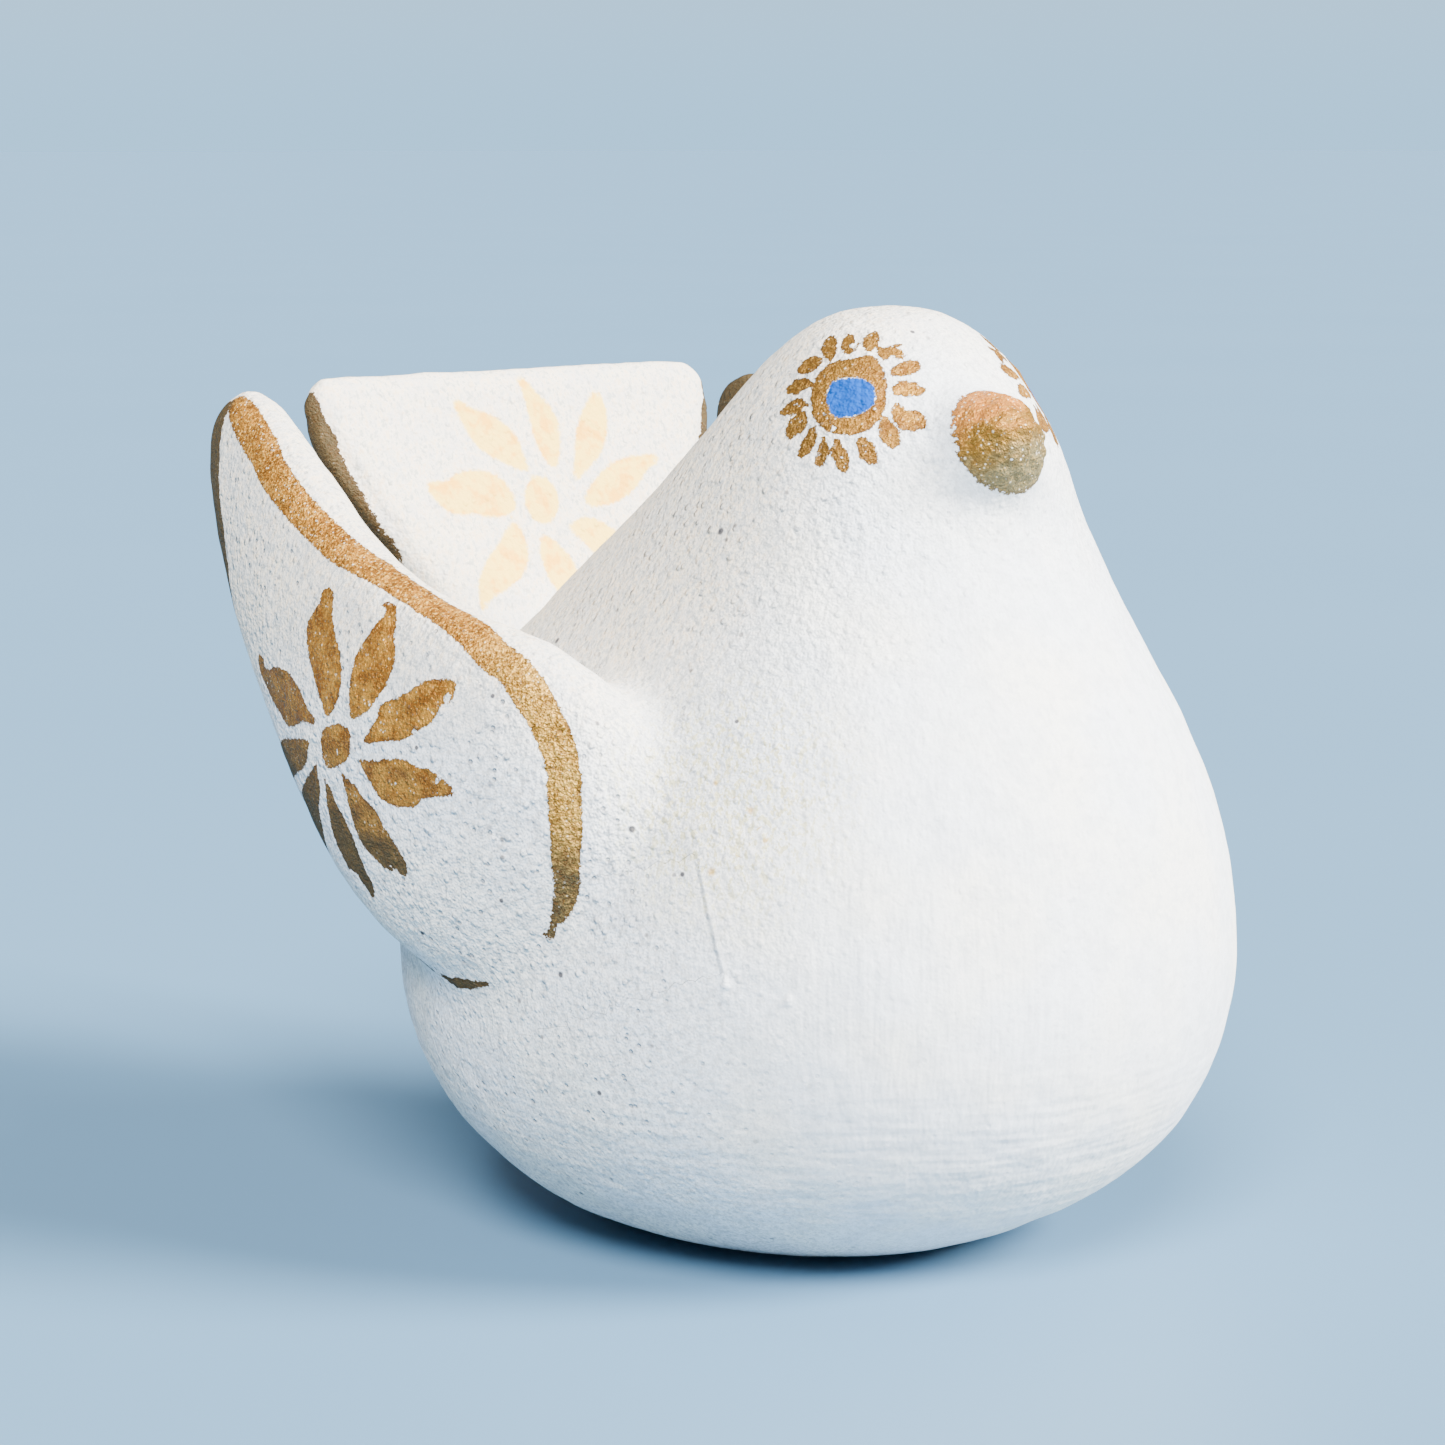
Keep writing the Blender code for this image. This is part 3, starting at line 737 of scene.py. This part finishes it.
def hand_marks(points):
    """How far the hand-formed surface stands out of the smooth one at each point, in millimetres."""
    chance = random.Random(SEED)
    heights = np.zeros(len(points))
    for i, (x, y, z) in enumerate(points):
        for out, back, length, height in HAND_NOISE:
            heights[i] += height * noise.noise(Vector((x + out, y + back, z)) / length)
        streak = Vector((x / STREAK_WIDTH, y / STREAK_WIDTH, z / STREAK_LENGTH))
        heights[i] += STREAK_HEIGHT * noise.noise(streak)
    lumps = [
        (chance.randrange(len(points)), chance.uniform(*LUMP_RADII), chance.uniform(*LUMP_HEIGHTS))
        for _ in range(LUMPS)
    ]
    for index, radius, height in lumps:
        away = points - points[index]
        heights += height * np.exp(-(away * away).sum(1) / (radius * radius))
    for *middle, radius, height in BEADS:
        away = lengths(points - middle)
        heights += height * np.exp(-(BEAD_STEEPNESS * away / radius) ** 2)
    return heights


def slip_character(points, normals):
    """What the slip is like at each point: how gritty, rough and pitted, and how like the neck's."""
    out, back, up = np.abs(points[:, 0]), points[:, 1], points[:, 2]
    on_tail = smooth(back, *TAIL_ZONE_BACK) * smooth(out, *TAIL_ZONE_OUT)
    gritty = smooth(back, *BREAST_TO_SIDE, 0.18, 1.0) * smooth(normals[:, 2], 0.45, 0.90, 1.0, 0.55)
    gritty = gritty * (1 - 0.65 * on_tail)
    neck = smooth(up, *NECK_UP) * smooth(back, *NECK_BACK)
    relief = gritty * smooth(up, *ROUGH_UP, 0.30, 1.0) * (1 + 0.45 * neck * smooth(out, *NECK_OUT))
    clouds = np.array([noise.noise(Vector(point) * PIT_CLOUD_WAVES) for point in points])
    pitted = gritty * smooth(clouds, -0.28, 0.20, 0.35, 1.0) * smooth(out, *PITTED_OUT, 0.55, 1.0)
    return {"slip_grit": gritty, "slip_relief": relief, "slip_pits": pitted, "slip_neck": neck}


def nearest_mark(points, normals, marks):
    """Each point's place along the surface from the nearest of the marks, in shares of the mark's radius."""
    offsets = np.full(points.shape, FAR)
    nearest = np.full(len(points), np.inf)
    for *middle, radius in marks:
        away = points - middle
        distance = lengths(away)
        close = distance < MARK_DEPTH
        away[close] -= (away[close] * normals[close]).sum(1)[:, None] * normals[close]
        closer = distance < nearest
        offsets[closer] = away[closer] / radius
        nearest[closer] = distance[closer]
    return offsets


def drip_gap(points):
    """How far each point beside the drip is from its middle line, and FAR at all other points."""
    away = points - DRIP_TOP
    down = away @ DRIP_ALONG
    beside = (down > 0.0) & (down < DRIP_LENGTH) & (points[:, 0] < -DRIP_OUT_FROM)
    return np.where(beside, away @ DRIP_ACROSS, FAR)


def crumble_beak(points, heights):
    """Roughens the beak: crumbs of clay, a crest with a hollow below it near the tip, and a flat place."""
    share, radius, over = beak_places(points)
    inside = np.clip((BEAK_REACH - radius) / BEAK_CRUMBS_FADE, 0, 1)
    inside = inside * np.clip((share - BEAK_GOLD_FROM) * BEAK_CRUMBS_RISE, 0, 1)
    for i in np.nonzero(inside > 0)[0]:
        place = Vector(points[i])
        crumbs = sum(noise.noise(place / length) * height for length, height in BEAK_CRUMBS)
        ridges = sum(
            height * math.exp(-((over[i] - middle) / width) ** 2) for middle, width, height in BEAK_RIDGES
        )
        towards_tip = min(max(share[i] - BEAK_RIDGES_FROM, 0) * BEAK_RIDGES_RISE, 1)
        flat = -BEAK_FLAT_DEPTH * math.exp(-((place - Vector(BEAK_FLAT)).length / BEAK_FLAT_RADIUS) ** 2)
        heights[i] += inside[i] * (crumbs + ridges * towards_tip + flat)
    return heights


def build_clay():
    """The finished clay piece."""
    mesh = skin_mesh(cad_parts["dove"])
    cut_finer(mesh)
    points, normals = mesh_points(mesh)
    kept = {
        "gold_paint": gold_distance(points, normals),
        "blue_paint": eye_distances(points)[1],
        "pale_gold": tail_distance(points, normals),
        "stripe": np.minimum(stripe_distance(points, -1), stripe_distance(points, 1)),
        "shaded_gold": shaded_gold_distance(points),
    }
    heights = crumble_beak(points, hand_marks(points)) + tail_side_fullness(points, normals)
    lifted = np.clip(points[:, 2] / MARKS_FADE_HEIGHT, 0, 1)
    points = points + normals * (heights * lifted)[:, None]
    points[:, 2] = np.where(points[:, 2] < FOOT_HEIGHT, 0, points[:, 2])
    set_points(mesh, points)
    kept.update(
        slip_character(points, normals),
        slip_drip=drip_gap(points),
        dark_speck=nearest_mark(points, normals, DARK_SPECKS),
        ochre_speck=nearest_mark(points, normals, OCHRE_SPECKS),
    )
    for name, values in kept.items():
        keep(mesh, name, values)
    mesh.name = "dove_clay"
    mesh.polygons.foreach_set("use_smooth", [True] * len(mesh.polygons))
    piece = bpy.data.objects.new("dove_clay", mesh)
    bpy.context.scene.collection.objects.link(piece)
    return piece


def add(tree, kind, **settings):
    """Adds a shader node that has no inputs."""
    made = tree.nodes.new("ShaderNode" + kind)
    for name, value in settings.items():
        setattr(made, name, value)
    return made


def join(kind, inputs, **settings):
    """Adds a shader node to the tree that its inputs come from. They are sockets to join, or values."""
    tree = next(value.id_data for value in inputs.values() if isinstance(value, bpy.types.NodeSocket))
    made = add(tree, kind, **settings)
    for name, value in inputs.items():
        if isinstance(value, bpy.types.NodeSocket):
            tree.links.new(value, made.inputs[name])
        else:
            made.inputs[name].default_value = value
    return made


def calc(operation, first, second=0.0, clamp=False):
    """The result of one sum on sockets or numbers."""
    made = join("Math", {0: first, 1: second}, operation=operation, use_clamp=clamp)
    return made.outputs[0]


def vector(operation, first, second, output="Vector"):
    """The result of one sum on two vectors."""
    return join("VectorMath", {0: first, 1: second}, operation=operation).outputs[output]


def chain(operation, values):
    """The result of the same sum carried on over several sockets or numbers."""
    result = values[0]
    for value in values[1:]:
        result = calc(operation, result, value)
    return result


def times(*values):
    """The product of several sockets or numbers."""
    return chain("MULTIPLY", values)


def total(*values):
    """The sum of several sockets or numbers."""
    return chain("ADD", values)


def most(*values):
    """The greatest of several sockets or numbers."""
    return chain("MAXIMUM", values)


def invert(value):
    """One minus the value."""
    return calc("SUBTRACT", 1.0, value)


def ramp(value, start, end, low=0.0, high=1.0):
    """The value mapped smoothly from start..end to low..high."""
    inputs = {"Value": value, "From Min": start, "From Max": end, "To Min": low, "To Max": high}
    return join("MapRange", inputs, interpolation_type="SMOOTHSTEP").outputs["Result"]


def blend(share, first, second):
    """A colour between two colours."""
    return join("Mix", {0: share, 6: first, 7: second}, data_type="RGBA").outputs[2]


def overlay(colour, *layers):
    """A colour with others laid over it in turn: each layer's share and its colour."""
    for share, over in layers:
        colour = blend(share, colour, over)
    return colour


def grain(place, waves, detail, roughness):
    """Cloudy noise from 0 to 1 with this many waves per millimetre."""
    inputs = {"Vector": place, "Scale": waves, "Detail": detail, "Roughness": roughness}
    return join("TexNoise", inputs).outputs[0]


def cells(place, density):
    """Scattered cells, this many per millimetre: how far from one's middle, and a number for each."""
    made = join("TexVoronoi", {"Vector": place, "Scale": density})
    return made.outputs["Distance"], join("SeparateColor", {0: made.outputs["Color"]}).outputs[0]


def dots(place, density, size, share):
    """1 in scattered round dots: cells per millimetre, radius in cells, share of cells with a dot."""
    middle, number = cells(place, density)
    return times(ramp(middle, size, size * 0.4), calc("LESS_THAN", number, share))


def stored(tree, name):
    """The number that the mesh keeps under this name."""
    return add(tree, "Attribute", attribute_name=name).outputs["Fac"]


def stored_mark(tree, name, soft):
    """1 in the middle of the stored marks, falling to 0 at their radii from this share of the radius on."""
    away = add(tree, "Attribute", attribute_name=name).outputs["Vector"]
    return ramp(vector("DISTANCE", away, (0, 0, 0), "Value"), 1.0, soft)


def axis_place(place, axis):
    """The place along one axis: X, Y or Z."""
    return join("SeparateXYZ", {0: place}).outputs[axis]


def stretch(place, across, back, up):
    """The places scaled by different amounts along the three axes."""
    return vector("MULTIPLY", place, (across, back, up))


def slip_colour(tree, place, pit_shade, mottle):
    """White slip: warm and cool clouds, a neck browned by painted warm reflection, grey patches where gritty,
    painted shade in pits, specks and a few ochre stains.
    """
    neck, gritty = stored(tree, "slip_neck"), stored(tree, "slip_grit")
    clouds = grain(place, CLOUD_WAVES, 1.0, 0.6)
    patches = grain(stretch(place, 1.0, 1.0, 0.6), PATCH_WAVES, 2.0, 0.72)
    fine_patches = grain(place, FINE_PATCH_WAVES, 1.0, 0.6)
    from_stain = times(vector("DISTANCE", place, STAIN_CENTRE, "Value"), 1.0 / STAIN_REACH)
    stains = calc("SUBTRACT", 1.0, from_stain, clamp=True)
    stains = times(stains, ramp(patches, 0.48, 0.62), STAIN_STRENGTH)
    return overlay(
        blend(ramp(clouds, 0.35, 0.68), *WHITES),
        # The neck: painted warm reflection with tan patches, and grey mottling that is partly painted shade
        (times(neck, 0.60), NECK_REFLECTION_CREAM),
        (times(neck, ramp(patches, 0.50, 0.64), 0.80), NECK_REFLECTION_TAN),
        (times(neck, ramp(patches, 0.48, 0.34), 0.75), NECK_MOTTLE_SHADE_GREY),
        (times(ramp(mottle, 0.56, 0.36), 0.36), CLOUD_GREY),
        (times(ramp(patches, 0.56, 0.34), gritty, 0.72), GRIT_GREY),
        (times(ramp(fine_patches, 0.52, 0.32), gritty, 0.60), FINE_PATCH_GREY),
        (times(pit_shade, 0.72), PIT_SHADE_GREY),
        (times(dots(place, SPECK_CELLS, 0.11, 0.45), gritty, 0.85), SPECK_BROWN),
        (calc("MINIMUM", stains, 0.8), STAIN_OLIVE),
        (times(stored_mark(tree, "ochre_speck", 0.2), 0.8), SPECK_OCHRE),
        (times(stored_mark(tree, "dark_speck", 0.5), 0.95), SPECK_BLACK),
    )


def slip_relief(tree, place, hollows, bumps):
    """How far the slip's grit, bumps, brush marks, hollows and drip stand out, in millimetres."""
    grit = times(grain(place, GRIT_WAVES, 2.0, 0.72), GRIT_HEIGHT)
    rough = times(total(grit, times(bumps, BUMP_HEIGHT)), stored(tree, "slip_relief"))
    brushed = grain(stretch(place, 1.5, 1.5, 0.12), 1.0, 1.0, 0.6)
    swept = grain(stretch(place, 0.16, 0.16, 0.9), 1.0, 1.0, 0.6)
    low = ramp(axis_place(place, "Z"), 26.0, 13.0)
    drip = ramp(calc("ABSOLUTE", stored(tree, "slip_drip")), DRIP_HALF_WIDTH, 0.0)
    return total(
        rough, times(brushed, BRUSH_HEIGHT), times(hollows, -HOLLOW_DEPTH),
        times(swept, low, SWEPT_HEIGHT), times(drip, DRIP_HEIGHT),
    )


def gold_colour(place, stripe, painted_shade, rim, mottle, flecks, spots):
    """Gold paint and its glints, painted highlights: copper, golden on the front stripe, olive where shade is
    painted, streaks.
    """
    up, back = axis_place(place, "Z"), axis_place(place, "Y")
    tone = ramp(mottle, 0.34, 0.66)
    # Painted reflection: the stripe is copper behind and high up, golden towards its front and lower end
    front = times(ramp(back, 2.0, -8.0), ramp(up, 60.0, 54.0))
    # Painted shade: the wing's petals darker towards the wing's back
    copper = blend(ramp(back, 12.0, 22.0, 0.0, 0.45), blend(tone, *COPPERS), REAR_SHADE_COPPER)
    striped = blend(front, blend(tone, *BRIGHT_COPPERS), blend(tone, *GOLDS))

    # The beak, in painted light and shade: lit copper above, golden in the middle and shaded olive grey below
    from_tip = vector("DISTANCE", place, BEAK_TIP, "Value")
    on_beak = ramp(from_tip, 9.0, 8.0)
    above = vector("DOT_PRODUCT", vector("SUBTRACT", place, BEAK_MIDDLE), BEAK_SHADE, "Value")
    over = total(above, times(tone, 1.6))
    beak = blend(ramp(over, 0.9, 5.0), *BEAK_LIT_GOLDS)
    beak = blend(ramp(over, 1.4, -2.2), beak, BEAK_SHADE_OLIVE)
    painted_shade = times(painted_shade, invert(on_beak))

    # Painted shade round the eyes, most at their low back sides, and painted reflection and shade at the front
    # stripe's lower end
    by_eye = times(ramp(up, 60.0, 64.0), ramp(back, 0.0, -6.0), invert(on_beak))
    shaded = total(ramp(back, -21.0, -14.5, 0.32, 0.84), ramp(up, 75.0, 69.5, 0.0, 0.45))
    low = times(stripe, ramp(up, 43.0, 33.0))

    streaks = grain(stretch(place, 2.2, 3.4, 6.0), 1.0, 2.0, 0.7)
    # Dark streaks and flecks: partly the paint's own mottling, partly painted shade of its relief
    shadows = most(ramp(streaks, 0.49, 0.34), ramp(flecks, 0.46, 0.32))
    shadows = times(shadows, ramp(stripe, 0.0, 1.0, 0.42, 0.74))
    # Pale streaks and flecks: painted highlights, fewer where shade is painted
    highlights = most(ramp(streaks, 0.55, 0.70), ramp(flecks, 0.56, 0.70))
    not_painted_shade = invert(times(painted_shade, 0.9))
    highlights = times(highlights, not_painted_shade, ramp(stripe, 0.0, 1.0, 0.30, 0.86))
    # Glints: pale dots, painted highlights, strewn most on the stripe's top and lower end and on the beak
    strewn = ramp(mottle, 0.44, 0.62, 0.10, 0.70)
    stripe_top = times(stripe, ramp(up, 56.0, 62.0), 0.75)
    strewn = most(strewn, low, times(on_beak, 0.6), stripe_top)
    painted_glints = most(spots, dots(place, GLINT_CELLS, 0.30, 0.45))
    painted_glints = times(painted_glints, strewn, invert(times(painted_shade, 0.8)))
    colour = overlay(
        copper,
        (stripe, striped),
        (on_beak, beak),
        (times(by_eye, shaded), EYE_SHADE_BROWN),
        (times(low, 0.65), LOW_REFLECTION_OLIVE),
        (times(painted_shade, 0.90), PAINTED_SHADE_OLIVE),
        (shadows, STREAK_SHADE_BROWN),
        (highlights, SHINE_HIGHLIGHT_GOLD),
        (times(rim, 0.45), RIM_BROWN),
        (times(painted_glints, 0.85), GLINT_HIGHLIGHT_CREAM),
    )
    return colour, painted_glints


def paint_material():
    """Chalky white slip with gold and blue paint where the stored distances are below zero."""
    material = bpy.data.materials.new("white_slip_painted")
    material.use_nodes = True
    tree = material.node_tree
    tree.nodes.clear()
    place = stretch(add(tree, "TexCoord").outputs["Object"], 1 / MM, 1 / MM, 1 / MM)
    facing = axis_place(add(tree, "NewGeometry").outputs["Normal"], "Z")

    # Brush edges: the stored distances, made ragged
    bristles = grain(place, BRISTLE_WAVES, 2.0, 0.78)
    ragged = times(calc("SUBTRACT", bristles, 0.5), RAGGED_REACH)
    distance = {}
    for name in ("gold_paint", "blue_paint", "pale_gold", "stripe", "shaded_gold"):
        distance[name] = calc("ADD", stored(tree, name), ragged)
    blue = ramp(distance["blue_paint"], 0.05, -0.05)
    pale = ramp(distance["pale_gold"], 0.22, -0.22)
    stripe = ramp(distance["stripe"], 0.3, 0.1)
    gold = times(ramp(distance["gold_paint"], 0.05, -0.05), invert(blue))
    middle, number = cells(place, MARK_CELLS)
    bare = times(ramp(middle, 0.17, 0.07), calc("GREATER_THAN", number, 0.95))
    gold = times(gold, invert(bare))
    rim = ramp(distance["gold_paint"], -0.30, -0.02)
    # Painted shade and reflection: olive where the gold faces down, and on the rear stripes, tail band and
    # left wing tip
    painted_shade = most(ramp(facing, 0.10, -0.24), ramp(distance["shaded_gold"], 0.4, 0.1))

    # The slip's own marks, with painted shade in its pits: rougher at the sides, on the wings and at the neck
    # than on the breast
    strewn = stored(tree, "slip_pits")
    hollows = times(ramp(middle, 0.28, 0.11), calc("LESS_THAN", number, 0.45), strewn)
    bumps = times(ramp(middle, 0.42, 0.12), calc("GREATER_THAN", number, 0.50))
    # Pits darkened in colour: painted shade
    pit_shade = most(*[dots(place, *kind) for kind in PIT_KINDS])
    pit_shade = most(hollows, times(pit_shade, strewn))
    mottle = grain(place, MOTTLE_WAVES, 2.0, 0.68)
    flecks = grain(place, FLECK_WAVES, 1.0, 0.78)
    white = slip_colour(tree, place, pit_shade, mottle)
    # Larger glints on the gold: painted highlights
    spots = times(ramp(middle, 0.18, 0.07), calc("GREATER_THAN", number, 0.62))
    metal, painted_glints = gold_colour(place, stripe, painted_shade, rim, mottle, flecks, spots)
    petal = blend(ramp(mottle, 0.46, 0.66), *PETAL_TONES)
    iris = blend(bristles, *BLUE_TONES)
    colour = overlay(white, (times(pale, 0.95), petal), (gold, metal), (blue, iris))
    metallic = times(
        gold, ramp(painted_glints, 0.0, 1.0, GOLD_METAL, GLINT_METAL), invert(times(painted_shade, 0.75))
    )
    rough_gold = total(ramp(bristles, 0.3, 0.7, 0.40, 0.60), times(painted_shade, 0.25))
    rough = total(times(gold, rough_gold), times(invert(gold), SLIP_ROUGHNESS))

    # Relief in millimetres: the slip's marks, then the paint's thickness and its flakes
    height = times(slip_relief(tree, place, hollows, bumps), ramp(gold, 0.0, 1.0, 1.0, 0.45))
    height = total(
        height, times(gold, GOLD_THICKNESS), times(blue, BLUE_THICKNESS),
        times(gold, flecks, FLAKE_HEIGHT),
    )
    bump = join("Bump", {"Height": height, "Distance": MM}).outputs[0]

    shader = join("BsdfPrincipled", {
        "Base Color": colour, "Metallic": metallic, "Roughness": rough, "Normal": bump,
        "Specular IOR Level": SPECULAR_LEVEL,
    })
    join("OutputMaterial", {"Surface": shader.outputs[0]})
    return material


def floor_material():
    """Plain pale table top."""
    material = bpy.data.materials.new("pale_table")
    material.use_nodes = True
    tree = material.node_tree
    shader = tree.nodes["Principled BSDF"]
    place = add(tree, "TexCoord").outputs["Object"]
    clouds = join("TexNoise", {"Vector": place, "Scale": FLOOR_WAVES, "Detail": 1.0}).outputs[0]
    tree.links.new(blend(clouds, *FLOOR_TINTS), shader.inputs["Base Color"])
    shader.inputs["Roughness"].default_value = FLOOR_ROUGHNESS
    return material


def build_stage():
    """The plain pale floor."""
    bpy.ops.mesh.primitive_plane_add(size=FLOOR_SIZE, location=(0, 0, 0))
    floor = bpy.context.active_object
    floor.name = "floor"
    floor.data.materials.append(floor_material())


def place_camera():
    """The photograph's camera."""
    azimuth, elevation = math.radians(CAMERA_AZIMUTH), math.radians(CAMERA_ELEVATION)
    back = Vector((
        math.sin(azimuth) * math.cos(elevation),
        -math.cos(azimuth) * math.cos(elevation),
        math.sin(elevation),
    ))
    camera = bpy.data.objects.new("camera", bpy.data.cameras.new("camera"))
    bpy.context.scene.collection.objects.link(camera)
    camera.location = Vector(CAMERA_LOOKS_AT) + back * CAMERA_DISTANCE
    camera.rotation_mode = "QUATERNION"
    camera.rotation_quaternion = (-back).to_track_quat("-Z", "Y")
    camera.data.lens = CAMERA_LENS
    camera.data.sensor_width = CAMERA_SENSOR
    camera.data.clip_start = CAMERA_CLIP_START
    bpy.context.scene.camera = camera


def soft_light(name, comes_from, strength, colour):
    """A broad, even studio light from one direction."""
    data = bpy.data.lights.new(name, "SUN")
    data.angle = math.radians(LIGHT_SPREAD)
    data.energy = strength
    data.color = colour
    light = bpy.data.objects.new(name, data)
    bpy.context.scene.collection.objects.link(light)
    light.rotation_mode = "QUATERNION"
    light.rotation_quaternion = (-Vector(comes_from)).to_track_quat("-Z", "Y")


def place_lights():
    """Soft daylight from the dove's front and above, a second one from its right and an even surround."""
    soft_light("key", KEY_FROM, KEY_STRENGTH, KEY_TINT)
    soft_light("fill", FILL_FROM, FILL_STRENGTH, (1, 1, 1))
    world = bpy.data.worlds.new("studio")
    world.use_nodes = True
    tree = world.node_tree
    background = tree.nodes["Background"]
    height = axis_place(add(tree, "TexCoord").outputs["Generated"], "Z")
    haze = ramp(height, HAZE_TOP, 0.0)
    tree.links.new(blend(haze, SKY_TINT, HAZE_TINT), background.inputs["Color"])
    tree.links.new(ramp(haze, 0.0, 1.0, WORLD_LIGHT, HAZE_LIGHT), background.inputs["Strength"])
    bpy.context.scene.world = world


place_camera()
build_stage()
place_lights()
clay = build_clay()
clay.data.materials.append(paint_material())
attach(clay, "root")
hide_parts("dove")

bpy.context.view_layer.update()
